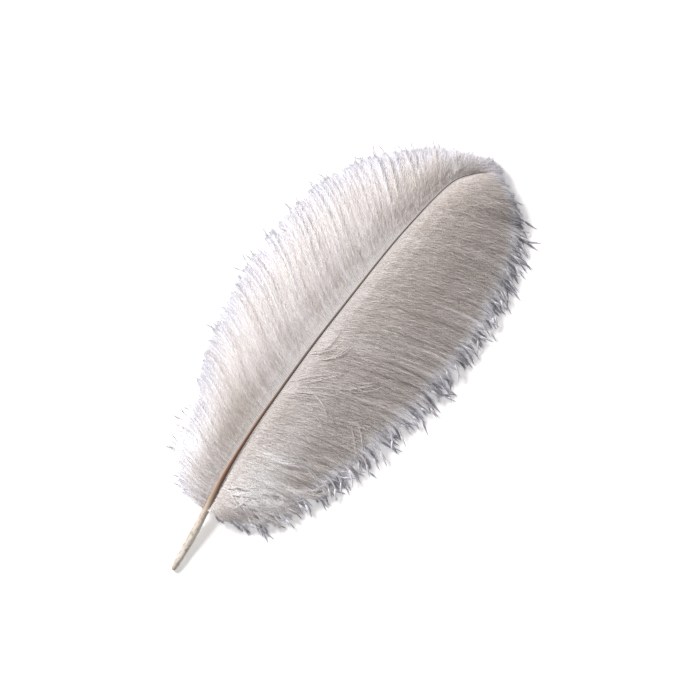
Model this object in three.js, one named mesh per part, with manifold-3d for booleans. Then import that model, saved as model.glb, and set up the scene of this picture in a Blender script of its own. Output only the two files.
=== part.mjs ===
// An ostrich plume lying on its vanes, back upwards. One shaft, from a bare rounded quill to a
// hooked head, carries two vanes of soft locks that rise a little beside it and then fall to the
// surface. Shaft and locks grow as one piece, so they are joined in one solid.
// Units are millimetres and +Z is up. +X runs along the shaft from quill to head, +Y is the left
// vane's side. The origin is under the middle of the plume, on the surface that it lies on.
import * as THREE from "three";
import { mergeVertices } from "three/addons/utils/BufferGeometryUtils.js";
import Module from "manifold-3d";

const wasm = await Module();
wasm.setup();

// Driving dimensions. Places in the tables are measured from the quill's end.
const plumeLength = 417; // quill's end to the head's outermost locks
const plumeWidth = 200.6; // left edge to right edge
const leftReach = 104; // from the quill's end line to the left edge
const shaftSides = 8;
const shaftSteps = 30;
const lockSides = 4; // a ridge above, a ridge below and two sharp sides
const lockSteps = 7;
const locksPerSide = 28;
const rootHalfWidth = 7.4;
const lockHalfWidth = 10.5;
const tipHalfWidth = 2.2;
const lockHalfThickness = 2.6;
const lockRaise = 1.1; // neighbours lie over and under each other by this
const rootDrop = 0.8; // how far below the shaft's middle line the locks leave it
const underReach = 5; // how far short of the edge the locks underneath end
const crowding = 0.04; // how much closer the locks grow at the quill and at the head
const lockTipHeight = 0.7; // middle of a lock's end above the surface
const vaneLift = 9; // how strongly the vanes rise beside the shaft
const fallPower = 2.2; // how late the vanes fall towards their edge
const marchStep = 1.5; // step with which a lock is grown out to the edge

// Middle line of the shaft: along, left, up.
const shaftLine = new THREE.CatmullRomCurve3(
  [
    [0, 0, 2],
    [8, 1.1, 2.4],
    [20, 2.6, 3.05],
    [32, 4.1, 4.6],
    [54, 7.7, 8.4],
    [90, 13.5, 14.6],
    [129, 16.8, 20],
    [169, 18, 24],
    [210, 18.7, 27],
    [258, 18, 28.5],
    [314, 16.5, 27],
    [347, 13.9, 24],
    [373, 10.6, 20],
    [387, 6.8, 17],
    [399, -1.5, 13.5],
    [406, -10, 10.5],
  ].map((place) => new THREE.Vector3(...place)),
  false,
  "centripetal",
);

// The shaft's half-width at places along it.
const shaftHalfWidths = [
  [0, 0.9],
  [4, 2.3],
  [12, 3.2],
  [28, 3.6],
  [44, 3.4],
  [60, 2.7],
  [90, 2.0],
  [130, 1.6],
  [170, 1.25],
  [258, 1.0],
  [347, 0.8],
  [410, 0.5],
];

// The edge that the lock tips reach, seen from above, from the quill round the head and back.
const vaneEdge = [
  [52, 9],
  [56, 31],
  [63, 45],
  [79, 58],
  [100, 66],
  [128, 75],
  [160, 87],
  [192, 95],
  [224, 101],
  [256, 103],
  [288, 101],
  [320, 95],
  [346, 84],
  [368, 69],
  [384, 53],
  [396, 39],
  [405, 22],
  [412, 6],
  [416, -8],
  [408, -30],
  [398, -52],
  [386, -69],
  [374, -78],
  [353, -85],
  [325, -91],
  [290, -96],
  [256, -95],
  [224, -92],
  [192, -87],
  [160, -80],
  [122, -68],
  [90, -55],
  [76, -47],
  [66, -38],
  [60, -24],
  [57, -8],
  [54, 4],
];

// The angle between a lock and the shaft, in degrees, for a lock that grows at that place:
// where it leaves the shaft, half way out, and at its tip.
const leftAngles = [
  [54, 88, 76, 84],
  [90, 78, 62, 80],
  [200, 76, 57, 78],
  [320, 68, 54, 70],
  [370, 60, 52, 60],
  [406, 40, 28, 20],
];
const rightAngles = [
  [54, 100, 98, 96],
  [90, 76, 84, 92],
  [160, 62, 74, 90],
  [300, 56, 68, 86],
  [370, 54, 62, 76],
  [406, 30, 26, 20],
];

// Straight-line reading of a table whose first column rises.
function readTable(table, place, column = 1) {
  const next = table.findIndex((row) => row[0] >= place);
  if (next === 0) return table[0][column];
  if (next < 0) return table[table.length - 1][column];
  const [low, high] = [table[next - 1], table[next]];
  const share = (place - low[0]) / (high[0] - low[0]);
  return THREE.MathUtils.lerp(low[column], high[column], share);
}

const edgePolygon = new THREE.CatmullRomCurve3(
  vaneEdge.map(([along, left]) => new THREE.Vector3(along, left, 0)),
  true,
  "centripetal",
).getPoints(240);

function insideEdge(along, left) {
  let inside = false;
  edgePolygon.forEach((a, i) => {
    const b = edgePolygon[(i + 1) % edgePolygon.length];
    const crosses = a.y > left !== b.y > left;
    if (crosses && along < a.x + ((left - a.y) / (b.y - a.y)) * (b.x - a.x))
      inside = !inside;
  });
  return inside;
}

// A closed solid swept along a curve. section(share) gives its half-width and half-thickness.
function sweep(curve, sides, steps, turn, section) {
  const geometry = new THREE.CylinderGeometry(1, 1, 1, sides, steps, false, turn);
  geometry.deleteAttribute("normal");
  geometry.deleteAttribute("uv");
  const position = geometry.getAttribute("position");
  const up = new THREE.Vector3(0, 0, 1);
  for (let i = 0; i < position.count; i++) {
    const share = THREE.MathUtils.clamp(position.getY(i) + 0.5, 0, 1);
    const centre = curve.getPointAt(share);
    const tangent = curve.getTangentAt(share);
    const sideways = new THREE.Vector3().crossVectors(tangent, up).normalize();
    const above = new THREE.Vector3().crossVectors(sideways, tangent);
    const [halfWidth, halfThickness] = section(share);
    centre.addScaledVector(sideways, position.getX(i) * halfWidth);
    centre.addScaledVector(above, position.getZ(i) * halfThickness);
    position.setXYZ(i, centre.x, centre.y, centre.z);
  }
  return mergeVertices(geometry, 1e-4);
}

function solidOf(geometry) {
  return new wasm.Manifold(
    new wasm.Mesh({
      numProp: 3,
      vertProperties: geometry.getAttribute("position").array,
      triVerts: new Uint32Array(geometry.index.array),
    }),
  );
}

// The shaft is turned by half a side, so that a flat side lies downwards.
function makeShaft() {
  return sweep(shaftLine, shaftSides, shaftSteps, Math.PI / shaftSides, (share) => {
    const place = shaftLine.getPointAt(share).x;
    const halfWidth = readTable(shaftHalfWidths, place);
    return [halfWidth, halfWidth];
  });
}

// The plan line of a lock that grows at a share of the shaft's length, out to the vane's edge.
function growLine(share, side, angles, short) {
  const root = shaftLine.getPointAt(share);
  const tangent = shaftLine.getTangentAt(share);
  const heading = Math.atan2(tangent.y, tangent.x);
  const [start, middle, tip] = [1, 2, 3].map((c) =>
    readTable(angles, root.x, c),
  );
  let length = 90;
  let line = [];
  for (let round = 0; round < 3; round++) {
    let [x, y, gone] = [root.x, root.y, 0];
    line = [[x, y]];
    while (gone < 160 && (gone < 6 || insideEdge(x, y))) {
      const out = gone / length;
      const bend =
        start +
        (middle - start) * THREE.MathUtils.smoothstep(out, 0, 0.5) +
        (tip - middle) * THREE.MathUtils.smoothstep(out, 0.55, 1);
      const direction = heading + side * THREE.MathUtils.degToRad(bend);
      x += Math.cos(direction) * marchStep;
      y += Math.sin(direction) * marchStep;
      gone += marchStep;
      line.push([x, y]);
    }
    line.length -= Math.min(Math.round(short / marchStep), line.length >> 2);
    length = gone;
  }
  return { root, line };
}

// One lock: flat where it leaves the shaft, fullest past half way, then down to a fine tip.
function makeLock(share, side, angles, number) {
  const under = number % 2 === 0;
  const { root, line } = growLine(share, side, angles, under ? underReach : 0);
  const raised = under ? -lockRaise : lockRaise;
  const points = line.map(([x, y], i) => {
    const out = i / (line.length - 1);
    const fallen = out ** fallPower;
    const lift = vaneLift * 4 * out * (1 - out) ** 2;
    const base = THREE.MathUtils.lerp(root.z - rootDrop, lockTipHeight, fallen);
    const height = base + lift + raised * Math.sin(Math.PI * out);
    return new THREE.Vector3(x, y, height);
  });
  const curve = new THREE.CatmullRomCurve3(points, false, "centripetal");
  const widest = Math.min(lockHalfWidth, curve.getLength() * 0.14);
  return sweep(curve, lockSides, lockSteps, 0, (out) => {
    const opening = THREE.MathUtils.smoothstep(out, 0, 0.18);
    const narrowing = THREE.MathUtils.smoothstep(out, 0.8, 1);
    const full = THREE.MathUtils.lerp(rootHalfWidth, widest, opening);
    const thick = THREE.MathUtils.lerp(0.4, 1, opening);
    const thin = THREE.MathUtils.lerp(thick, 0.45, narrowing);
    return [
      THREE.MathUtils.lerp(Math.min(full, widest), tipHalfWidth, narrowing),
      lockHalfThickness * thin,
    ];
  });
}

const firstLock = 0.135; // shares of the shaft's length between which the locks grow
const lastLock = 0.995;
let plume = solidOf(makeShaft());
for (const [side, angles] of [
  [1, leftAngles],
  [-1, rightAngles],
]) {
  for (let i = 0; i < locksPerSide; i++) {
    const even = i / (locksPerSide - 1);
    const crowded = even - crowding * Math.sin(2 * Math.PI * even);
    const share = THREE.MathUtils.lerp(firstLock, lastLock, crowded);
    plume = plume.add(solidOf(makeLock(share, side, angles, i)));
  }
}

// Everything below the surface is cut off, which leaves small flat places to lie on.
const below = new THREE.BoxGeometry(600, 400, 40);
below.deleteAttribute("normal");
below.deleteAttribute("uv");
below.translate(plumeLength / 2, 0, -20);
plume = plume.subtract(solidOf(mergeVertices(below)));

// Crumbs that the joins leave beside the shaft are dropped.
const [whole] = plume.decompose().sort((a, b) => b.volume() - a.volume());
const mesh = whole.getMesh();
const feather = new THREE.Mesh(
  new THREE.BufferGeometry()
    .setAttribute(
      "position",
      new THREE.BufferAttribute(mesh.vertProperties, 3),
    )
    .setIndex(new THREE.BufferAttribute(mesh.triVerts, 1)),
  new THREE.MeshStandardMaterial({
    color: "#d9d0cd",
    roughness: 0.85,
    metalness: 0,
  }),
);
feather.name = "feather";

const part = new THREE.Group();
part.add(feather);
part.position.set(-plumeLength / 2, plumeWidth / 2 - leftReach, 0);
export default part;
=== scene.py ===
# An ostrich plume lying on its vanes, back upwards: one shaft and two vanes of fluffy barbs.
# Lengths in the tables are millimetres, measured from the quill's end along the plume.
import math

import bmesh
import bpy
import numpy as np
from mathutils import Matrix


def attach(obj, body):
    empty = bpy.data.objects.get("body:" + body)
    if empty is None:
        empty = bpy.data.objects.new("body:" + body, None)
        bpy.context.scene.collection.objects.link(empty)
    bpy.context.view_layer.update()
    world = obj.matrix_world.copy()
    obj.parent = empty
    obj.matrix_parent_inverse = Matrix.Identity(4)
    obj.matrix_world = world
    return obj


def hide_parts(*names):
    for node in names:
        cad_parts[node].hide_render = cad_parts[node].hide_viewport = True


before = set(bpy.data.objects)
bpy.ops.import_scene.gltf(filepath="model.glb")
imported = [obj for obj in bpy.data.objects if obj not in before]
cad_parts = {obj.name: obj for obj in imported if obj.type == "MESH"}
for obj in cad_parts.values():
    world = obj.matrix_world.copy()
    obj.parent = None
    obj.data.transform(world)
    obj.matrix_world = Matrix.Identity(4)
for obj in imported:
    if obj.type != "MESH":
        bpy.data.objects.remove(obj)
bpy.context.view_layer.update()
scene = bpy.context.scene
quillEnd = np.array([-208.5, -3.7, 0.0])  # where the tables' zero lies in the part's frame

# ---- camera, light and floor ----
# these are metres and degrees
view = {
    "middle": (0.0184, -0.0109),
    "height": 2.0,
    "width": 0.56,  # what the picture takes in
    "level": 0.012,  # and the height at which it does
    "sensor": 36.0,  # millimetres
    "turn": -52.97,
}
light = {
    "keyTowards": (0.14, 0.99),
    "keyHeight": 35.0,  # above the floor
    "keyDistance": 5.0,
    "keySize": 1.7,
    "keyPower": 345.0,
    "keyColour": (1.0, 0.985, 0.98),
    "fill": 0.32,
    "fillColour": (1.0, 0.955, 0.93),
    "bounces": 10,  # pale down passes light on from barb to barb
    "floorSize": 4.0,
    "floorColour": (0.95, 0.95, 0.955),
    "floorGlow": 0.33,  # a lit table, so that shadows stay faint
}


def makeCamera():
    lens = bpy.data.cameras.new("camera")
    lens.sensor_width = view["sensor"]
    lens.lens = view["sensor"] * (view["height"] - view["level"]) / view["width"]
    lens.clip_end = 50
    camera = bpy.data.objects.new("camera", lens)
    camera.location = (*view["middle"], view["height"])
    camera.rotation_euler = (0, 0, math.radians(view["turn"]))
    scene.collection.objects.link(camera)
    scene.camera = camera


def makeLights():
    lamp = bpy.data.lights.new("key", "AREA")
    lamp.shape = "DISK"
    lamp.size = light["keySize"]
    lamp.energy = light["keyPower"]
    lamp.color = light["keyColour"]
    key = bpy.data.objects.new("key", lamp)
    rise = math.radians(light["keyHeight"])
    reach = light["keyDistance"]
    key.location = (
        light["keyTowards"][0] * reach * math.cos(rise),
        light["keyTowards"][1] * reach * math.cos(rise),
        reach * math.sin(rise),
    )
    key.rotation_euler = (-key.location).to_track_quat("-Z", "Y").to_euler()
    scene.collection.objects.link(key)
    world = bpy.data.worlds.new("studio")
    world.use_nodes = True
    fill = world.node_tree.nodes["Background"]
    fill.inputs["Color"].default_value = (*light["fillColour"], 1)
    fill.inputs["Strength"].default_value = light["fill"]
    scene.world = world
    scene.view_settings.view_transform = "Standard"
    scene.cycles.diffuse_bounces = light["bounces"]
    scene.cycles.denoising_prefilter = "NONE"  # keeps the finest barbules apart


def makeFloor():
    material = bpy.data.materials.new("paleFloor")
    material.use_nodes = True
    shader = material.node_tree.nodes["Principled BSDF"]
    shader.inputs["Base Color"].default_value = (*light["floorColour"], 1)
    shader.inputs["Roughness"].default_value = 0.9
    shader.inputs["Specular IOR Level"].default_value = 0.1
    shader.inputs["Emission Color"].default_value = (1, 1, 1, 1)
    shader.inputs["Emission Strength"].default_value = light["floorGlow"]
    bm = bmesh.new()
    bmesh.ops.create_grid(bm, x_segments=1, y_segments=1, size=light["floorSize"])
    mesh = bpy.data.meshes.new("floor")
    bm.to_mesh(mesh)
    bm.free()
    mesh.materials.append(material)
    floor = bpy.data.objects.new("floor", mesh)
    scene.collection.objects.link(floor)


makeCamera()
makeLights()
makeFloor()
print("camera, light and floor are set")


# ---- lines that everything grows along ----
def smooth(value, low, high):
    share = np.clip((value - low) / (high - low), 0, 1)
    return share * share * (3 - 2 * share)


def lerp(low, high, share):
    return low + (high - low) * share


def curveThrough(points, closed=False, each=40):
    # a centripetal curve with this many places between one point and the next
    points = np.array(points, float)
    if closed:
        ring = np.vstack([points[-1:], points, points[:2]])
    else:
        ring = np.vstack([2 * points[0] - points[1], points, 2 * points[-1] - points[-2]])
    t = (np.arange(each) / each)[:, None]
    found = []
    for a, b, c, d in zip(ring, ring[1:], ring[2:], ring[3:]):
        ab, bc, cd = (math.sqrt(np.linalg.norm(q - p)) for p, q in ((a, b), (b, c), (c, d)))
        leave = ((b - a) / ab - (c - a) / (ab + bc) + (c - b) / bc) * bc
        arrive = ((c - b) / bc - (d - b) / (bc + cd) + (d - c) / cd) * bc
        found.append(
            b
            + leave * t
            + (-3 * b + 3 * c - 2 * leave - arrive) * t**2
            + (2 * b - 2 * c + leave + arrive) * t**3
        )
    if not closed:
        found.append(points[-1:])
    return np.vstack(found)


# middle line of the shaft: along, left, up
shaftLine = curveThrough(
    [
        [0, 0, 2],
        [8, 1.1, 2.4],
        [20, 2.6, 3.05],
        [32, 4.1, 4.6],
        [54, 7.7, 8.4],
        [90, 13.5, 14.6],
        [129, 16.8, 20],
        [169, 18, 24],
        [210, 18.7, 27],
        [258, 18, 28.5],
        [314, 16.5, 27],
        [347, 13.9, 24],
        [373, 10.6, 20],
        [387, 6.8, 17],
        [399, -1.5, 13.5],
        [406, -10, 10.5],
    ]
)
shaftGone = np.concatenate([[0], np.cumsum(np.linalg.norm(np.diff(shaftLine, axis=0), axis=1))])
shaftLength = shaftGone[-1]
shaftWay = np.gradient(shaftLine, shaftGone, axis=0)
shaftWay /= np.linalg.norm(shaftWay, axis=1)[:, None]

# the edge that the barbs reach, seen from above, from the quill round the head and back
vaneEdge = curveThrough(
    [
        [52, 9],
        [56, 31],
        [63, 45],
        [79, 58],
        [100, 66],
        [128, 75],
        [160, 87],
        [192, 95],
        [224, 101],
        [256, 103],
        [288, 101],
        [320, 95],
        [346, 84],
        [368, 69],
        [384, 53],
        [396, 39],
        [405, 22],
        [412, 6],
        [416, -8],
        [408, -30],
        [398, -52],
        [386, -69],
        [374, -78],
        [353, -85],
        [325, -91],
        [290, -96],
        [256, -95],
        [224, -92],
        [192, -87],
        [160, -80],
        [122, -68],
        [90, -55],
        [76, -47],
        [66, -38],
        [60, -24],
        [57, -8],
        [54, 4],
    ],
    closed=True,
    each=6,
)


def readLine(values, gone):
    # values along the shaft, at lengths gone from the quill's end
    return np.stack([np.interp(gone, shaftGone, v) for v in values.T], -1)


def insideEdge(places):
    x, y = places[..., 0], places[..., 1]
    inside = np.zeros(x.shape, bool)
    for a, b in zip(vaneEdge, np.roll(vaneEdge, -1, axis=0)):
        if a[1] != b[1]:
            crosses = (a[1] > y) != (b[1] > y)
            inside ^= crosses & (x < a[0] + (y - a[1]) / (b[1] - a[1]) * (b[0] - a[0]))
    return inside


# ---- barbs ----
barbs = {
    "perSide": 260,
    "first": 0.135,  # shares of the shaft between which they grow
    "last": 0.998,
    "crowding": 0.04,  # how much closer they grow at the quill and at the head
    "step": 1.5,  # with which they are grown out to the edge
    "fewestSteps": 5,
    "mostSteps": 112,
    "usual": 90.0,  # the length that this begins with
    "whole": 60.0,  # shorter barbs have smaller waves and points, by their length
    "segments": 16,
    "tipDetail": 1.5,  # how much closer the rings stand towards the tips
    "radii": [[0, 0.05], [8, 0.1], [16, 0.16], [60, 0.16], [95, 0.24]],  # from the tip inwards
    "rootDrop": 0.2,  # how far below the shaft's middle line they leave it
    "tipHeight": 0.9,
    "leastHeight": 0.35,  # above the surface that the plume lies on
    "fall": 2.2,  # how late they fall towards their tips
    "swapped": 0.15,  # every second barb lies above its neighbours, apart from these
    "skew": 1.7,  # few of the lower ones reach far
    "stray": 0.24,  # spread of their heights
    "overlapStray": 0.2,  # and of how high they lie over each other
    "wave": 0.5,  # spread of the sideways waves
    "waves": 7.0,  # radians from root to tip
    "flicked": 17.0,  # how much of a barb turns aside with its tip
    "lock": (6, 12),  # barbs in a soft lock
    "lockTurn": 0.4,  # degrees
    "lockPull": 0.05,
    "lockPart": (0.12, 0.9),  # shares of a barb between which its lock draws it in
    "lockRidge": 0.2,
    "lockLayers": 0.25,
    "pair": (1, 2),  # barbs that lean together at their ends
    "pairPull": 0.5,
    "pairLength": 14.0,
    # the barbs change between these places along the plume
    "lowPart": (85, 130),  # from the lowest ones to the others
    "downyPart": (90, 190),  # from looser ones to straighter ones
    "headPart": (352, 392),  # towards those that fold over the head
    "headBorder": (388, 396),  # towards those without points
    "headReach": (0.75, 1.7),  # how much sooner those at the head go outwards, and how sharply
    "headFall": 2.2,  # and how much later they fall
}
leftVane = {
    "side": 1,
    "seed": 3,
    # degrees between barb and shaft at places along the plume: at the root, half way and at the tip
    "angles": [
        [54, 88, 76, 84],
        [90, 78, 62, 80],
        [200, 76, 57, 78],
        [320, 68, 54, 70],
        [370, 60, 52, 60],
        [390, 46, 38, 40],
        [406, 3, 3, 3],
    ],
    "upperEnds": (-6.0, -1.0),  # where the upper barbs end, past the edge
    "lowerEnds": (-4.0, 6.0),
    "lowEnds": 2.0,  # how much further the lowest ones may reach
    "fluffEnds": (4.5, 2.5),  # how far short of the edge their fluff ends, upper and lower
    "lowShort": 5.0,  # and how much earlier it ends on the lowest ones
    "flick": (0.5, 2.4),  # how the tips turn aside: the mean and the spread
    "clawed": 0.85,  # share of the barbs that end in a narrow point
    "claw": (8.5, 0.5),  # its length and half-width
    "lowClaws": 1.7,  # how much larger the points of the lowest barbs are
    "sidePoints": (1, 1, 8, 5, 8, 0.45),  # how many, where from the tip, their length, half-width
    "edgeSpread": 19.0,  # degrees between a barbule and its barb, near the edge
    "overlap": 0.5,  # how high the upper barbs lie over the lower ones at their tips
    "deep": (0.0, 1, 4, 9, 15),  # painted shade under the upper tips: strength, and where it comes and goes
    "band": (0.0, 100, 135, 3, 14),  # grey border of the lower part: strength, along, from the edge
    "downy": 0.5,  # how much looser the lowest barbs are
    "lift": 6.0,  # how strongly the vane rises beside the shaft
}
rightVane = {
    "side": -1,
    "seed": 8,
    "angles": [
        [54, 100, 98, 96],
        [90, 76, 84, 92],
        [160, 62, 74, 90],
        [300, 56, 68, 86],
        [370, 54, 62, 76],
        [390, 44, 44, 52],
        [406, 3, 3, 3],
    ],
    "upperEnds": (-12.0, -2.0),
    "lowerEnds": (-8.0, 4.0),
    "lowEnds": 0.0,
    "fluffEnds": (17.0, 6.0),
    "lowShort": 1.0,
    "flick": (-4.0, 3.4),
    "clawed": 0.8,
    "claw": (16.0, 1.0),
    "lowClaws": 1.25,
    "sidePoints": (1, 2, 15, 8, 14, 0.95),
    "edgeSpread": 7.0,
    "overlap": 4.0,
    # painted shade under the upper tips, as on the left
    "deep": (0.8, 3, 7, 16, 21),
    "band": (0.36, 100, 135, 3, 14),
    "downy": 1.4,
    "lift": 8.0,
}


def shareOfWhole(length):
    return np.minimum(length / barbs["whole"], 1)


def lengthOf(lines):
    return np.linalg.norm(np.diff(lines, axis=1), axis=2).sum(1)


def groupsOf(count, fewest, most, rng):
    # the number of each barb's group, its place across the group from -1 to 1, and the group's middle
    sizes = []
    while sum(sizes) < count:
        sizes.append(int(rng.integers(fewest, most + 1)))
    number = np.repeat(np.arange(len(sizes)), sizes)[:count]
    starts = np.concatenate([[0], np.cumsum(sizes)[:-1]])
    half = (np.array(sizes) - 1) / 2
    middle = np.minimum(starts + half, count - 1)
    across = (np.arange(count) - middle[number]) / np.maximum(half[number], 0.5)
    return number, across, middle[number]


def march(root, heading, side, bends, length):
    gone = np.arange(1, barbs["mostSteps"] + 1) * barbs["step"]
    out = gone[None, :] / length[:, None]
    start, middle, tip = (b[:, None] for b in bends)
    bend = start + (middle - start) * smooth(out, 0, 0.5) + (tip - middle) * smooth(out, 0.55, 1)
    way = heading[:, None] + side * np.radians(bend)
    x = root[:, 0, None] + np.cumsum(np.cos(way), axis=1) * barbs["step"]
    y = root[:, 1, None] + np.cumsum(np.sin(way), axis=1) * barbs["step"]
    line = np.stack([x, y], -1)
    return np.concatenate([root[:, None, :2], line], axis=1)


def grownToEdge(root, heading, turn, vane):
    # the bends depend on a barb's length, so it is grown a few times
    angles = np.array(vane["angles"], float)
    bends = [np.interp(root[:, 0], angles[:, 0], angles[:, c]) + turn for c in (1, 2, 3)]
    length = np.full(len(root), barbs["usual"])
    fewest = barbs["fewestSteps"]
    for _ in range(4):
        line = march(root, heading, vane["side"], bends, length)
        inside = insideEdge(line)
        inside[:, :fewest] = True
        length = np.maximum(np.argmin(inside, axis=1), fewest) * barbs["step"]
    return line, length


def between(lines, at):
    # places on the lines, where at counts a line's points
    low = np.clip(np.floor(at).astype(int), 0, lines.shape[1] - 2)
    part = (at - low)[..., None]
    rows = np.arange(len(lines))[:, None]
    return lines[rows, low] * (1 - part) + lines[rows, low + 1] * part


def placesAlong(lines, length, out, left):
    # where each line is at these distances from its tip
    return between(lines, np.interp(1 - left / length[:, None], out, np.arange(len(out))))


def drawnTo(plan, middle, pull):
    # each line moves towards the line in the middle of its group
    low = np.clip(np.floor(middle).astype(int), 0, len(plan) - 1)
    high = np.clip(low + 1, 0, len(plan) - 1)
    share = (middle - low)[:, None, None]
    centre = plan[low] * (1 - share) + plan[high] * share
    return plan + (centre - plan) * pull[..., None]


def growVane(vane, rng):
    count = barbs["perSide"]
    even = (np.arange(count) + 0.5) / count
    crowded = even - barbs["crowding"] * np.sin(2 * math.pi * even)
    gone = lerp(barbs["first"], barbs["last"], crowded) * shaftLength
    root = readLine(shaftLine, gone)
    way = readLine(shaftWay, gone)
    lock, lockAcross, lockMiddle = groupsOf(count, *barbs["lock"], rng)
    pairMiddle = groupsOf(count, *barbs["pair"], rng)[2]
    lockTurn = rng.normal(0, barbs["lockTurn"], lock.max() + 1)[lock]
    line, length = grownToEdge(root, np.arctan2(way[:, 1], way[:, 0]), lockTurn, vane)
    # barbs end a little short of the edge or past it
    upper = (np.arange(count) + (rng.random(count) < barbs["swapped"])) % 2 == 0
    past = np.where(
        upper,
        lerp(*vane["upperEnds"], rng.random(count)),
        lerp(*vane["lowerEnds"], rng.random(count) ** barbs["skew"]),
    )
    past *= shareOfWhole(length)
    further = vane["lowEnds"] * (1 - smooth(root[:, 0], *barbs["lowPart"])) * rng.random(count)
    past += np.where(upper, 0, further)
    length = length + past
    small = shareOfWhole(length)[:, None]
    out = 1 - (1 - np.linspace(0, 1, barbs["segments"] + 1)) ** barbs["tipDetail"]
    left = (1 - out)[None, :] * length[:, None]  # millimetres from the tip
    # at the head they go outwards first and then fall steeply
    head = smooth(root[:, 0], *barbs["headPart"])
    most, sharp = barbs["headReach"]
    reached = lerp(out[None, :], 1 - (1 - out[None, :]) ** sharp, most * head[:, None])
    plan = between(line, reached * (length / barbs["step"])[:, None])
    plan = drawnTo(plan, lockMiddle, barbs["lockPull"] * smooth(out, *barbs["lockPart"])[None, :])
    plan = drawnTo(plan, pairMiddle, barbs["pairPull"] * (1 - smooth(left, 0, barbs["pairLength"])))
    # soft sideways waves, and tips that turn aside
    across = np.stack([-np.gradient(plan[..., 1], axis=1), np.gradient(plan[..., 0], axis=1)], -1)
    across /= np.maximum(np.linalg.norm(across, axis=2), 1e-6)[..., None]
    phase = rng.uniform(0, 2 * math.pi, count)[:, None]
    looser = 1 + vane["downy"] * (1 - smooth(root[:, 0], *barbs["downyPart"]))
    wave = (rng.normal(0, barbs["wave"], count) * looser)[:, None]
    wave = wave * np.sin(out[None, :] * barbs["waves"] + phase) * smooth(out, 0, 0.3)
    turned = np.clip(1 - left / barbs["flicked"], 0, 1) ** 2
    flick = rng.normal(*vane["flick"], count)[:, None] * turned
    plan = plan + across * (wave + flick * small)[..., None]
    # heights
    swell = np.sin(math.pi * out**0.85)[None, :]
    fallen = out[None, :] ** (barbs["fall"] + barbs["headFall"] * head[:, None])
    lift = vane["lift"] * 4 * (out * (1 - out) ** 2)[None, :]
    height = lerp(root[:, 2, None] - barbs["rootDrop"], barbs["tipHeight"], fallen) + lift
    lockLayer = rng.normal(0, barbs["lockLayers"], lock.max() + 1)[lock]
    stray = rng.normal(0, barbs["stray"], count) * looser
    ridge = barbs["lockRidge"] * (1 - lockAcross**2)
    height = height + (lockLayer + stray + ridge)[:, None] * swell * small
    over = np.where(upper, vane["overlap"], 0) + rng.normal(0, barbs["overlapStray"], count)
    height = height + over[:, None] * smooth(out, 0.5, 1.0)[None, :] * small
    height = np.maximum(height, barbs["leastHeight"])
    lines = np.concatenate([plan, height[..., None]], axis=2)
    clawed = rng.random(count) < vane["clawed"] * (1 - smooth(root[:, 0], *barbs["headBorder"]))
    return lines, lengthOf(lines), out, past, upper, clawed


def frameAlong(way):
    up = np.array([0.0, 0.0, 1.0])
    sideways = np.cross(way, up)
    sideways /= np.maximum(np.linalg.norm(sideways, axis=-1), 1e-9)[..., None]
    return sideways, np.cross(sideways, way)


def wayAlong(lines):
    way = np.gradient(lines, axis=1)
    way /= np.linalg.norm(way, axis=2)[..., None]
    return way


def wallsOf(number):
    # triangles between the rings, which are numbered by line, ring and corner
    a, b = number[:, :-1], number[:, 1:]
    a2, b2 = np.roll(a, -1, axis=2), np.roll(b, -1, axis=2)
    walls = np.stack([np.stack([a, b, b2], -1), np.stack([a, b2, a2], -1)], -2)
    return walls.reshape(-1, 3)


def mapOf(u, across):
    # each line has its own strip of the map
    count, rings = u.shape
    v = (np.arange(count)[:, None, None] + 0.5 + np.array(across)) / count
    shape = (count, rings, len(across))
    return np.stack([np.broadcast_to(u[..., None], shape), np.broadcast_to(v, shape)], -1).reshape(-1, 2)


# tubes, points and barbules come as places, triangles, places on the map, distances from the
# barb's tip and the number of the barb that each place belongs to
def tubesAlong(lines, length, out, thick=1.0):
    count, rings = lines.shape[:2]
    sideways, above = frameAlong(wayAlong(lines))
    turn = np.radians([90, 210, 330])
    left = (1 - out)[None, :] * length[:, None]
    table = np.array(barbs["radii"])
    radius = thick * np.interp(left, table[:, 0], table[:, 1])[:, :, None, None]
    ring = (
        sideways[:, :, None, :] * np.cos(turn)[None, None, :, None]
        + above[:, :, None, :] * np.sin(turn)[None, None, :, None]
    )
    places = lines[:, :, None, :] + ring * radius
    number = np.arange(count * rings * 3).reshape(count, rings, 3)
    ends = np.stack([number[:, 0], number[:, -1, ::-1]], 1).reshape(-1, 3)
    triangles = np.concatenate([wallsOf(number), ends])
    mapped = mapOf(np.broadcast_to(lerp(0.01, 0.99, out), (count, rings)), [-0.3, 0, 0.3])
    owner = np.repeat(np.arange(count), rings * 3)
    return places.reshape(-1, 3), triangles, mapped, np.repeat(left, 3), owner


# ---- narrow points in which the barbs end ----
claws = {
    "rings": 8,
    "ridge": 0.7,  # thickness of a point by its width
    "heel": 0.6,  # width where it begins, by its full width
    "fullness": 0.55,  # how late it narrows
    "blunt": 0.04,  # width of its end
    "leastHeight": 0.1,
    "lengths": (0.75, 1.25),  # of one point and another, by the vane's own value
    "widths": (0.7, 1.15),
    "mostOfBarb": 0.4,  # share of a barb that its point may take
    "thin": 0.65,  # width of those that stand out past the edge, by the others' width
    "lowPart": (85, 140),  # up to here they are larger
    "branch": (7, 24),  # degrees between a side point and its barb
    "bend": 0.55,  # share of that angle lost by the side point's tip
    "rise": 1.0,  # how high a side point arches
    "sideWidths": (0.7, 1.2),
    "sideHeight": 0.5,  # how low they may lie
}


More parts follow.
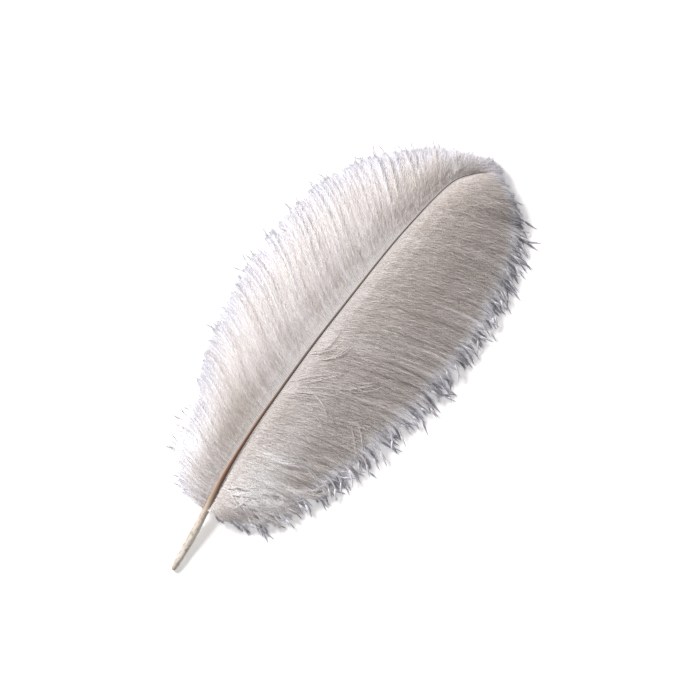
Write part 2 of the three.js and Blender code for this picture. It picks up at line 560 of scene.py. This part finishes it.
def bladesAlong(centre, wide, left, length):
    # sharp to the left and right, with a ridge above and one below
    count, rings = centre.shape[:2]
    share = np.linspace(0, 1, rings)
    sideways, above = frameAlong(wayAlong(centre))
    opened = lerp(claws["heel"], 1, smooth(share, 0, 0.3))
    profile = opened * (1 - share) ** claws["fullness"] + claws["blunt"]
    wide = wide[:, None] * profile[None, :]
    corners = []
    for turn in range(4):
        angle = math.pi / 2 * turn
        corners.append(
            centre
            + sideways * (math.cos(angle) * wide)[..., None]
            + above * (math.sin(angle) * wide * claws["ridge"])[..., None]
        )
    places = np.stack(corners, 2)
    places[..., 2] = np.maximum(places[..., 2], claws["leastHeight"])
    number = np.arange(count * rings * 4).reshape(count, rings, 4)
    first, last = number[:, 0], number[:, -1]
    ends = [first[:, [0, 1, 2]], first[:, [0, 2, 3]], last[:, [2, 1, 0]], last[:, [3, 2, 0]]]
    triangles = np.concatenate([wallsOf(number), *ends])
    mapped = mapOf(np.clip(1 - left / length[:, None], 0, 1), [-0.4, -0.1, 0.4, 0.1])
    owner = np.repeat(np.arange(count), rings * 4)
    return places.reshape(-1, 3), triangles, mapped, np.repeat(left, 4), owner


def clawsOn(lines, length, out, past, vane, rng):
    count = len(lines)
    share = np.linspace(0, 1, claws["rings"])
    longest, widest = vane["claw"]
    larger = lerp(vane["lowClaws"], 1, smooth(lines[:, 0, 0], *claws["lowPart"]))
    reach = longest * larger * rng.uniform(*claws["lengths"], count)
    left = np.minimum(reach, claws["mostOfBarb"] * length)[:, None] * (1 - share)[None, :]
    centre = placesAlong(lines, length, out, left)
    wide = widest * larger * rng.uniform(*claws["widths"], count)
    wide *= lerp(1, claws["thin"], smooth(past, 0, 4))
    return bladesAlong(centre, wide, left, length)


def sidePointsOn(lines, length, out, vane, rng):
    # points that branch off the barbs before their ends
    each, nearest, farthest, least, most, wide = vane["sidePoints"]
    count, rings = len(lines) * each, claws["rings"]
    owner = np.repeat(np.arange(len(lines)), each)
    begin = rng.uniform(nearest, farthest, count)
    begin = np.minimum(begin, 0.5 * length[owner])[:, None]
    root = placesAlong(lines[owner], length[owner], out, begin)[:, 0]
    ahead = placesAlong(lines[owner], length[owner], out, begin * 0.9)[:, 0]
    heading = np.arctan2(ahead[:, 1] - root[:, 1], ahead[:, 0] - root[:, 0])
    fall = (ahead[:, 2] - root[:, 2]) / np.maximum(np.hypot(*(ahead - root)[:, :2].T), 1e-6)
    turn = np.radians(rng.uniform(*claws["branch"], count)) * rng.choice([-1, 1], count)
    reach = rng.uniform(least, most, count) * shareOfWhole(length[owner])
    share = np.linspace(0, 1, rings)
    step = reach / (rings - 1)
    way = heading[:, None] + turn[:, None] * (1 - claws["bend"] * share)[None, :]
    steps = np.stack([np.cos(way), np.sin(way)], -1) * step[:, None, None]
    steps[:, 0] = 0
    plan = root[:, None, :2] + np.cumsum(steps, axis=1)
    rise = claws["rise"] * np.sin(math.pi * share**0.7)
    height = root[:, 2, None] + (fall * reach)[:, None] * share + rise
    height = np.maximum(height, claws["sideHeight"])
    centre = np.concatenate([plan, height[..., None]], axis=2)
    left = reach[:, None] * (1 - share)[None, :]
    blades = bladesAlong(centre, wide * rng.uniform(*claws["sideWidths"], count), left, length[owner])
    return (*blades[:4], owner[blades[4]])


# ---- barbules ----
barbules = {
    "spacing": 0.31,  # along a barb, on each side of it
    "from": 0.012,  # share of the barb at which they begin
    "over": 0.975,  # and that they cover
    "length": 10.0,
    "lengths": (0.65, 1.15),  # of one and another, by the length
    "rootShare": 0.3,  # how much of it they have at the shaft
    "rootPart": (1, 16),  # and where from the shaft they lengthen
    "width": 0.26,
    "spread": 15.0,  # degrees between a barbule and its barb
    "spreads": (0.4, 1.6),
    "edgePart": (8, 24),  # where from the edge they change from the vane's spread to that
    "clawSpread": 4.0,
    "clawLength": (0.4, 0.3, 3.0),  # on a point: at its tip, how it grows from there, and at most
    "clawShare": 0.06,  # share of them that are left on the points
    "fluffEnds": (0.75, 1.25),  # where the fluff ends on one barb and another
    "overEnd": 2.2,  # how far they may reach over the fluff's end
    "droop": 2.0,
    "scatter": 35.0,
    "leastHeight": 0.15,
}


def barbulesOn(lines, length, out, past, upper, vane, rng):
    count, rings = lines.shape[:2]
    each = np.maximum((length / barbules["spacing"]).astype(int), 6)
    owner = np.repeat(np.arange(count), each * 2)
    first = np.repeat(np.concatenate([[0], np.cumsum(each * 2)[:-1]]), each * 2)
    order = np.arange(len(owner)) - first
    share = (order // 2 + rng.random(len(owner))) / each[owner]
    share = barbules["from"] + barbules["over"] * share
    sign = np.where(order % 2, 1.0, -1.0)
    at = np.interp(share, out, np.arange(rings))
    low = np.minimum(at.astype(int), rings - 2)
    part = (at - low)[:, None]
    start, end = lines[owner, low], lines[owner, low + 1]
    root = start * (1 - part) + end * part
    way = end - start
    way /= np.linalg.norm(way, axis=1)[:, None]
    sideways, above = frameAlong(way)
    gone = share * length[owner]  # millimetres from the shaft
    left = (1 - share) * length[owner]  # and from the tip
    ends = np.where(upper, *vane["fluffEnds"]) * rng.uniform(*barbules["fluffEnds"], count)
    ends += vane["lowShort"] * (1 - smooth(lines[:, 0, 0], *barbs["lowPart"]))
    ends = ends * shareOfWhole(length) + past
    room = left - ends[owner]  # millimetres to where the fluff ends
    inner = smooth(left - past[owner], *barbules["edgePart"])
    fuller = lerp(vane["edgeSpread"], barbules["spread"], inner)
    spread = np.where(room < 0, barbules["clawSpread"], fuller)
    spread = np.radians(spread * rng.uniform(*barbules["spreads"], len(owner)))
    roll = np.radians(barbules["droop"] + rng.normal(0, barbules["scatter"], len(owner)))
    direction = np.cos(spread)[:, None] * way + np.sin(spread)[:, None] * (
        (np.cos(roll) * sign)[:, None] * sideways + np.sin(roll)[:, None] * above
    )
    size = barbules["length"] * lerp(barbules["rootShare"], 1, smooth(gone, *barbules["rootPart"]))
    atTip, growing, longest = barbules["clawLength"]
    onPoint = np.minimum(atTip + growing * left, longest)
    size = np.minimum(size, np.where(room < 0, onPoint, barbules["overEnd"] + room))
    size = size * rng.uniform(*barbules["lengths"], len(owner))
    kept = (room > 0) | (rng.random(len(owner)) < barbules["clawShare"])
    owner, root, direction, size, share, sign, left = (
        a[kept] for a in (owner, root, direction, size, share, sign, left)
    )
    tip = root + direction * size[:, None]
    tip[:, 2] = np.maximum(tip[:, 2], barbules["leastHeight"])
    # each is a three-sided spike, open where it stands in its barb
    first, second = frameAlong(direction)
    turn = rng.uniform(0, 2 * math.pi, len(owner))
    width = barbules["width"] / math.sqrt(3)
    base = []
    for corner in range(3):
        angle = turn + corner * 2 * math.pi / 3
        base.append(
            root
            + first * (np.cos(angle) * width)[:, None]
            + second * (np.sin(angle) * width)[:, None]
        )
    places = np.stack([*base, tip], 1)
    number = np.arange(len(owner))[:, None] * 4
    triangles = np.concatenate([number + [0, 1, 3], number + [1, 2, 3], number + [2, 0, 3]])
    middle = (owner + 0.5) / count
    u = np.stack([share, share, share, share + 0.9 * size / length[owner]], 1)
    v = np.stack([middle + sign * a / count for a in (-0.1, 0.05, 0.15, 0.45)], 1)
    left = np.stack([left, left, left, np.maximum(left - size, 0)], 1)
    mapped = np.stack([np.clip(u, 0, 1), v], -1).reshape(-1, 2)
    return places.reshape(-1, 3), triangles, mapped, left.ravel(), np.repeat(owner, 4)


# ---- finish of the barbs ----
barbFinish = {
    # warm brown for the streaks and the darker tones, and near-white for the paler tones; in the tones
    # they carry painted shade and painted light as well as the barbs' own colour
    "shade": (0.64, 0.575, 0.525),
    "pale": (0.97, 0.965, 0.97),
    # dark blue-grey of the painted shade under the upper tips, also used for the grey border
    "deep": (0.22, 0.22, 0.265),
    "streaks": 0.4,  # how much shade the streaks along the barbs have
    "streakScale": (2.2, 26, 1),
    "streakRange": (0.42, 0.72),
    "tint": 0.1,  # how one barb differs from another
    "deepest": (0.35, 1.0),  # how strong the painted shade under the upper tips is on one and another
    "deepLow": (0.45, 100, 170),  # how much fainter it is on the lowest barbs, and where
    "deepHead": (0.6, 370, 392),  # and at the head
    # where the plume is darker (+) or paler (-), partly its own browner colour and partly painted shade
    # and painted light that stand in for how the light falls there: along, left, and how far that
    # reaches
    "paintedShadingAndTones": [
        (124, 36, 38, 24, 0.65),
        (366, 28, 42, 26, 0.25),
        (300, 30, 60, 12, 0.1),
        (100, -18, 34, 24, -0.9),
        (60, -6, 9, 9, 0.6),
        (94, 48, 38, 10, -0.75),
        (150, -12, 40, 10, -0.3),
        (368, -21, 42, 34, 0.28),
        (300, -32, 50, 22, 0.2),
    ],
    # colours at distances from the edge, as shares of the width of the tips; the blue-grey at the very
    # tips is partly their own cool tint and partly painted shade of the thin tips
    "tipsWidth": 40.0,
    "leftTips": [
        (0.0, (0.28, 0.29, 0.34)),
        (0.06, (0.43, 0.44, 0.50)),
        (0.13, (0.77, 0.775, 0.84)),
        (0.35, (0.83, 0.825, 0.865)),
        (0.8, (0.85, 0.828, 0.832)),
    ],
    # on the right vane the pale band just inside the tips is partly painted light on points that lie in
    # shade, and the darker, warmer inner colour is partly painted shade of the vane that faces away from
    # the key light
    "rightTips": [
        (0.0, (0.40, 0.40, 0.46)),
        (0.12, (0.74, 0.75, 0.85)),
        (0.46, (0.91, 0.915, 0.96)),
        (0.68, (0.735, 0.695, 0.68)),
    ],
}


def toneAt(places):
    toneWithPaintedShading = np.zeros(len(places))
    for x, y, reachX, reachY, strength in barbFinish["paintedShadingAndTones"]:
        far = ((places[:, 0] - x) / reachX) ** 2 + ((places[:, 1] - y) / reachY) ** 2
        toneWithPaintedShading += strength * np.exp(-far)
    return toneWithPaintedShading


def paintedShadeUnder(along, fromEdge, vane):
    # painted shade: the lower barbs are darker where the upper ones end over them
    strength, near, full, far, end = vane["deep"]
    under = smooth(fromEdge, near, full) * (1 - smooth(fromEdge, far, end))
    atHead, *headPart = barbFinish["deepHead"]
    below, *lowPart = barbFinish["deepLow"]
    faint = 1 - atHead * smooth(along, *headPart) - below * (1 - smooth(along, *lowPart))
    return strength * under * faint


def bandAt(along, fromEdge, vane):
    strength, first, last, near, far = vane["band"]
    return strength * (1 - smooth(along, first, last)) * (1 - smooth(fromEdge, near, far))


def mixOf(tree, factor, first, second):
    mix = tree.nodes.new("ShaderNodeMix")
    mix.data_type = "RGBA"
    tree.links.new(factor, mix.inputs["Factor"])
    for value, place in ((first, "A"), (second, "B")):
        if isinstance(value, tuple):
            mix.inputs[place].default_value = (*value, 1)
        else:
            tree.links.new(value, mix.inputs[place])
    return mix.outputs["Result"]


def rangeOf(tree, value, low, high, least, most):
    spread = tree.nodes.new("ShaderNodeMapRange")
    spread.inputs["From Min"].default_value = low
    spread.inputs["From Max"].default_value = high
    spread.inputs["To Min"].default_value = least
    spread.inputs["To Max"].default_value = most
    tree.links.new(value, spread.inputs["Value"])
    return spread.outputs["Result"]


def attributeOf(tree, name):
    node = tree.nodes.new("ShaderNodeAttribute")
    node.attribute_name = name
    return node.outputs["Fac"]


def rampOf(tree, value, wanted):
    ramp = tree.nodes.new("ShaderNodeValToRGB")
    stops = ramp.color_ramp.elements
    while len(stops) < len(wanted):
        stops.new(0.5)
    for stop, (place, colour) in zip(stops, wanted):
        stop.position = place
        stop.color = (*colour, 1)
    tree.links.new(value, ramp.inputs["Fac"])
    return ramp.outputs["Color"]


def noiseOf(tree, place, scale, detail):
    stretch = tree.nodes.new("ShaderNodeMapping")
    stretch.inputs["Scale"].default_value = scale
    tree.links.new(place, stretch.inputs["Vector"])
    noise = tree.nodes.new("ShaderNodeTexNoise")
    noise.inputs["Scale"].default_value = 1.0
    noise.inputs["Detail"].default_value = detail
    tree.links.new(stretch.outputs["Vector"], noise.inputs["Vector"])
    return noise.outputs["Fac"]


def barbMaterial(name, tips):
    material = bpy.data.materials.new(name)
    material.use_nodes = True
    tree = material.node_tree
    shader = tree.nodes["Principled BSDF"]
    mapped = tree.nodes.new("ShaderNodeUVMap")
    mapped.uv_map = "OFBake"
    # streaks that run along the barbs
    streaks = noiseOf(tree, mapped.outputs["UV"], barbFinish["streakScale"], 3.0)
    streaky = rangeOf(tree, streaks, *barbFinish["streakRange"], 0, barbFinish["streaks"])
    tips = rampOf(tree, attributeOf(tree, "fromEdge"), tips)
    colour = mixOf(tree, streaky, tips, barbFinish["shade"])
    # painted shade and painted light: the tone mixes towards the warm brown where it is above zero and
    # towards the near-white where it is below
    toneWithPaintedShading = attributeOf(tree, "toneWithPaintedShading")
    colour = mixOf(tree, rangeOf(tree, toneWithPaintedShading, 0, 1, 0, 1), colour, barbFinish["shade"])
    colour = mixOf(tree, rangeOf(tree, toneWithPaintedShading, 0, -1, 0, 1), colour, barbFinish["pale"])
    colour = mixOf(tree, attributeOf(tree, "deep"), colour, barbFinish["deep"])
    tree.links.new(colour, shader.inputs["Base Color"])
    shader.inputs["Roughness"].default_value = 0.72
    shader.inputs["Specular IOR Level"].default_value = 0.25
    shader.inputs["Sheen Weight"].default_value = 0.2
    return material


# ---- pieces of the vanes ----
def joined(shapes, column):
    return np.concatenate([shape[column] for shape in shapes])


def pieceFrom(name, shapes, material):
    # a shape is places, triangles, places on the map, distances from the edge, depth (the painted shade
    # under the upper tips, or the grey border) and tint
    places = joined(shapes, 0)
    starts = np.cumsum([0] + [len(shape[0]) for shape in shapes[:-1]])
    triangles = np.concatenate([shape[1] + start for shape, start in zip(shapes, starts)])
    mapped = joined(shapes, 2)
    attributes = {
        "fromEdge": joined(shapes, 3) / barbFinish["tipsWidth"],
        "toneWithPaintedShading": toneAt(places) + joined(shapes, 5),
        "deep": joined(shapes, 4),
    }
    mesh = bpy.data.meshes.new(name)
    mesh.vertices.add(len(places))
    mesh.vertices.foreach_set("co", ((places + quillEnd) / 1000).astype(np.float32).ravel())
    mesh.loops.add(triangles.size)
    mesh.loops.foreach_set("vertex_index", triangles.astype(np.int32).ravel())
    mesh.polygons.add(len(triangles))
    mesh.polygons.foreach_set("loop_start", np.arange(0, triangles.size, 3, dtype=np.int32))
    mesh.update(calc_edges=True)
    layer = mesh.uv_layers.new(name="OFBake")
    layer.uv.foreach_set("vector", mapped[triangles.ravel()].astype(np.float32).ravel())
    for attribute, values in attributes.items():
        kept = mesh.attributes.new(attribute, "FLOAT", "POINT")
        kept.data.foreach_set("value", values.astype(np.float32))
    mesh.shade_flat()
    mesh.materials.append(material)
    piece = bpy.data.objects.new(name, mesh)
    scene.collection.objects.link(piece)
    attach(piece, "root")
    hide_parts("feather")
    print(name, len(triangles), "triangles")


def makeVane(sideName, vane, grown, material, rng):
    # three pieces with about the same length of barbs
    lines, length, out, past, upper, clawed = grown
    shares = np.cumsum(length) / length.sum()
    depth = rng.uniform(*barbFinish["deepest"], len(length))
    tint = rng.normal(0, barbFinish["tint"], len(length))
    for third in range(3):
        chosen = np.flatnonzero((shares > third / 3) & (shares <= (third + 1) / 3 + 1e-9))
        pointed = chosen[clawed[chosen]]
        whole = (lines[chosen], length[chosen], out)
        ended = (lines[pointed], length[pointed], out)
        shapes = []
        for (*shape, left, owner), numbers in (
            (tubesAlong(*whole), chosen),
            (clawsOn(*ended, past[pointed], vane, rng), pointed),
            (sidePointsOn(*ended, vane, rng), pointed),
            (barbulesOn(*whole, past[chosen], upper[chosen], vane, rng), chosen),
        ):
            owner = numbers[owner]
            fromEdge = left - past[owner]
            along = lines[owner, 0, 0]
            # painted shade on the lower barbs under the upper tips, or the grey border where that is
            # darker
            deep = paintedShadeUnder(along, fromEdge, vane) * depth[owner] * ~upper[owner]
            deep = np.maximum(deep, bandAt(along, fromEdge, vane))
            shapes.append((*shape, fromEdge, deep, tint[owner]))
        pieceFrom(f"{sideName}Vane{third + 1}", shapes, material)


# ---- loose down that lies over the lower right vane ----
loose = {
    "bundles": 26,
    "each": 5,  # strands in a bundle
    "along": (66, 200),  # where the barbs below them grow
    "apart": 7,  # barbs between the first and the last strand of a bundle
    "start": (0.05, 0.6),  # share of the barb below at which they begin
    "startStray": 0.05,
    "startPart": (0.03, 0.9),
    "length": (18, 44),
    "lengths": (0.75, 1.2),  # of one strand and another in a bundle
    "turn": (-4, 17, 3.5),  # degrees away from the barb below: the mean and the spreads
    "bend": (34, 9),  # degrees: spread of the bundles, and within them
    "curl": 1.5,  # how late they bend
    "nearest": 6,  # how many places of the barbs below tell a strand's height
    "above": 0.9,
    "arch": 1.4,
    "thick": 1.4,
    "fluffyTo": 118,  # up to here the bundles have barbules
    "fluffEnds": (1.0, 1.0),
    "lowShort": 0.0,
    "edgeSpread": 9.0,
    "fromEdge": 26.0,  # they have the colours of this distance from the edge
    "pale": 0.25,
}


def strandsOver(lines, rng):
    low, high = np.searchsorted(lines[:, 0, 0], loose["along"])
    count = loose["bundles"] * loose["each"]
    bundle = np.repeat(np.arange(loose["bundles"]), loose["each"])

    def spread(middle, wide, near):
        return middle + rng.normal(0, wide, loose["bundles"])[bundle] + rng.normal(0, near, count)

    chosen = rng.integers(low, high, loose["bundles"])[bundle] + rng.integers(0, loose["apart"], count)
    rings = barbs["segments"] + 1
    start = rng.uniform(*loose["start"], loose["bundles"])[bundle]
    start = start + rng.uniform(-loose["startStray"], loose["startStray"], count)
    at = (np.clip(start, *loose["startPart"]) * (rings - 2)).astype(int)
    root, ahead = lines[chosen, at], lines[chosen, at + 1]
    heading = np.arctan2(ahead[:, 1] - root[:, 1], ahead[:, 0] - root[:, 0])
    heading += np.radians(spread(*loose["turn"]))
    out = np.linspace(0, 1, rings)
    reach = rng.uniform(*loose["length"], loose["bundles"])[bundle]
    reach = reach * rng.uniform(*loose["lengths"], count)
    bend = np.radians(spread(0, *loose["bend"]))
    way = heading[:, None] + bend[:, None] * out[None, :] ** loose["curl"]
    for _ in range(3):
        steps = np.stack([np.cos(way), np.sin(way)], -1) * (reach / (rings - 1))[:, None, None]
        plan = root[:, None, :2] + np.cumsum(steps, axis=1)
        stays = insideEdge(plan).mean(1)
        reach = np.where(stays < 1, 0.8 * stays, 1) * reach  # they end short of the edge
    # they follow the surface of the barbs below
    known = lines.reshape(-1, 3)
    surface = np.empty(plan.shape[:2])
    for i, line in enumerate(plan):
        far = ((line[:, None, :] - known[None, :, :2]) ** 2).sum(2)
        near = np.argpartition(far, loose["nearest"], axis=1)[:, : loose["nearest"]]
        surface[i] = known[near, 2].mean(1)
    kernel = np.array([1, 2, 3, 2, 1]) / 9
    smoothed = np.stack([np.convolve(np.pad(s, 2, "edge"), kernel, "valid") for s in surface])
    height = smoothed + loose["above"] + loose["arch"] * np.sin(math.pi * out)[None, :]
    found = np.concatenate([plan, height[..., None]], axis=2)
    return found, lengthOf(found), out


def makeLooseDown(lines, material, rng):
    strands, length, out = strandsOver(lines, rng)
    fluffy = strands[:, 0, 0] < loose["fluffyTo"]
    none = np.zeros(fluffy.sum())
    shapes = []
    for *shape, left, _ in (
        tubesAlong(strands, length, out, loose["thick"]),
        barbulesOn(strands[fluffy], length[fluffy], out, none, none > 0, loose, rng),
    ):
        plain = np.zeros(len(left))
        shapes.append((*shape, plain + loose["fromEdge"], plain, plain - loose["pale"]))
    pieceFrom("looseDown", shapes, material)


for sideName, vane in (("left", leftVane), ("right", rightVane)):
    rng = np.random.default_rng(vane["seed"])
    material = barbMaterial(f"{sideName}Barbs", barbFinish[f"{sideName}Tips"])
    grown = growVane(vane, rng)
    makeVane(sideName, vane, grown, material, rng)
makeLooseDown(grown[0], material, rng)  # over the right vane, the last that was grown
print("both vanes are grown")


# ---- shaft ----
shaft = {
    "sides": 16,
    "steps": 110,
    "endDetail": 1.35,  # how much closer the rings stand towards the quill's end
    "halfWidths": [
        [0, 1.2],
        [1.5, 2.0],
        [5, 2.7],
        [12, 3.2],
        [28, 3.5],
        [44, 3.35],
        [60, 2.85],
        [78, 2.3],
        [100, 1.8],
        [130, 1.4],
        [170, 1.1],
        [258, 0.85],
        [347, 0.6],
        [390, 0.35],
        [410, 0.2],
    ],
    "bareTo": (44, 60),  # the bare quill ends here
    "vanedFrom": (50, 85),  # where the lower part between the vanes comes and goes
    "vanedTo": (90, 190),
    "rise": 0.9,  # by which that part stands out of the down
    # colours at distances from the quill's end
    "colours": [
        (0, (0.46, 0.40, 0.33)),
        (6, (0.79, 0.75, 0.685)),
        (46, (0.76, 0.70, 0.61)),
        (64, (0.42, 0.31, 0.225)),
        (84, (0.24, 0.13, 0.085)),
        (130, (0.16, 0.08, 0.052)),
        (180, (0.11, 0.07, 0.05)),
        (340, (0.12, 0.085, 0.07)),
        (410, (0.26, 0.21, 0.18)),
    ],
    "coloursEnd": 420.0,
    # painted shade on the side of the shaft away from the light, and on the quill's lit side
    "paintedShadeColour": (0.11, 0.05, 0.033),
    "paintedShadeLower": 0.75,  # how strong the painted shade is on the right of the lower part, away from the light
    "paintedShadeQuill": 0.26,  # and on the left of the quill, painted shade that evens out the key light there
    # painted highlight on the shaft's lit side
    "paintedLightColour": (0.74, 0.66, 0.58),
    "paintedLightLower": 0.35,  # how strong the painted highlight is on the left of the lower part, towards the light
    "spots": (0.29, 0.235, 0.18),  # the bare quill is mottled with these
    "spotKinds": [  # spots and long scratches: scale, range and strength
        ((260, 420, 420), 0.5, 0.64, 0.55),
        ((60, 700, 700), 0.48, 0.66, 0.45),
    ],
    "spotsFade": (40, 62),  # they fade between these places
    "spotsLeft": 0.25,  # to this share
}


def shaftMaterial():
    material = bpy.data.materials.new("hornShaft")
    material.use_nodes = True
    tree = material.node_tree
    shader = tree.nodes["Principled BSDF"]
    place = tree.nodes.new("ShaderNodeTexCoord")
    along = attributeOf(tree, "along")
    end = shaft["coloursEnd"]
    colour = rampOf(tree, along, [(at / end, tint) for at, tint in shaft["colours"]])
    full, faded = shaft["spotsFade"]
    for scale, low, high, most in shaft["spotKinds"]:
        spots = noiseOf(tree, place.outputs["Object"], scale, 4.0)
        amount = tree.nodes.new("ShaderNodeMath")
        amount.operation = "MULTIPLY"
        spotted = rangeOf(tree, spots, low, high, 0, most)
        tree.links.new(spotted, amount.inputs[0])
        bare = rangeOf(tree, along, faded / end, full / end, shaft["spotsLeft"], 1)
        tree.links.new(bare, amount.inputs[1])
        colour = mixOf(tree, amount.outputs[0], colour, shaft["spots"])
    # painted shade and painted highlight on the shaft's sides
    colour = mixOf(tree, attributeOf(tree, "paintedShade"), colour, shaft["paintedShadeColour"])
    colour = mixOf(tree, attributeOf(tree, "light"), colour, shaft["paintedLightColour"])
    tree.links.new(colour, shader.inputs["Base Color"])
    shader.inputs["Roughness"].default_value = 0.5
    return material


def makeShaft():
    gone = np.linspace(0, 1, shaft["steps"] + 1) ** shaft["endDetail"] * shaftLength
    centre = readLine(shaftLine, gone)
    sideways, above = frameAlong(readLine(shaftWay, gone))
    table = np.array(shaft["halfWidths"], float)
    width = np.interp(centre[:, 0], table[:, 0], table[:, 1])
    bare = 1 - smooth(centre[:, 0], *shaft["bareTo"])
    vaned = smooth(centre[:, 0], *shaft["vanedFrom"]) * (1 - smooth(centre[:, 0], *shaft["vanedTo"]))
    centre[:, 2] += shaft["rise"] * vaned
    bm = bmesh.new()
    along = bm.verts.layers.float.new("along")
    paintedShade = bm.verts.layers.float.new("paintedShade")
    light = bm.verts.layers.float.new("light")
    bmesh.ops.create_circle(bm, cap_ends=True, segments=shaft["sides"], radius=1.0)
    firstRing = list(bm.verts)
    angles = [math.atan2(v.co.y, v.co.x) for v in firstRing]

    def settle(ring, i):
        for v, angle in zip(ring, angles):
            right, up = math.cos(angle), math.sin(angle)
            place = (
                centre[i]
                + sideways[i] * right * width[i]
                + above[i] * up * width[i]
                + quillEnd
            )
            v.co = (place[0] / 1000, place[1] / 1000, max(place[2], 0) / 1000)
            v[along] = centre[i, 0] / shaft["coloursEnd"]
            # painted shade on the right of the lower part and the left of the quill, painted highlight
            # on the left of the lower part
            v[paintedShade] = vaned[i] * shaft["paintedShadeLower"] * smooth(right, 0.1, 0.7)
            v[paintedShade] += bare[i] * shaft["paintedShadeQuill"] * smooth(-right, -0.1, 0.7)
            v[light] = vaned[i] * shaft["paintedLightLower"] * smooth(-right, 0.35, 0.75)

    settle(firstRing, 0)
    edges = list(bm.edges)
    for i in range(1, len(gone)):
        grown = bmesh.ops.extrude_edge_only(bm, edges=edges)
        verts = [g for g in grown["geom"] if isinstance(g, bmesh.types.BMVert)]
        edges = [g for g in grown["geom"] if isinstance(g, bmesh.types.BMEdge)]
        settle(verts, i)
    bmesh.ops.contextual_create(bm, geom=edges)
    bmesh.ops.recalc_face_normals(bm, faces=bm.faces)
    for face in bm.faces:
        face.smooth = True
    mesh = bpy.data.meshes.new("shaft")
    bm.to_mesh(mesh)
    bm.free()
    mesh.materials.append(shaftMaterial())
    piece = bpy.data.objects.new("shaft", mesh)
    scene.collection.objects.link(piece)
    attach(piece, "root")
    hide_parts("feather")


makeShaft()
print("the shaft is made")
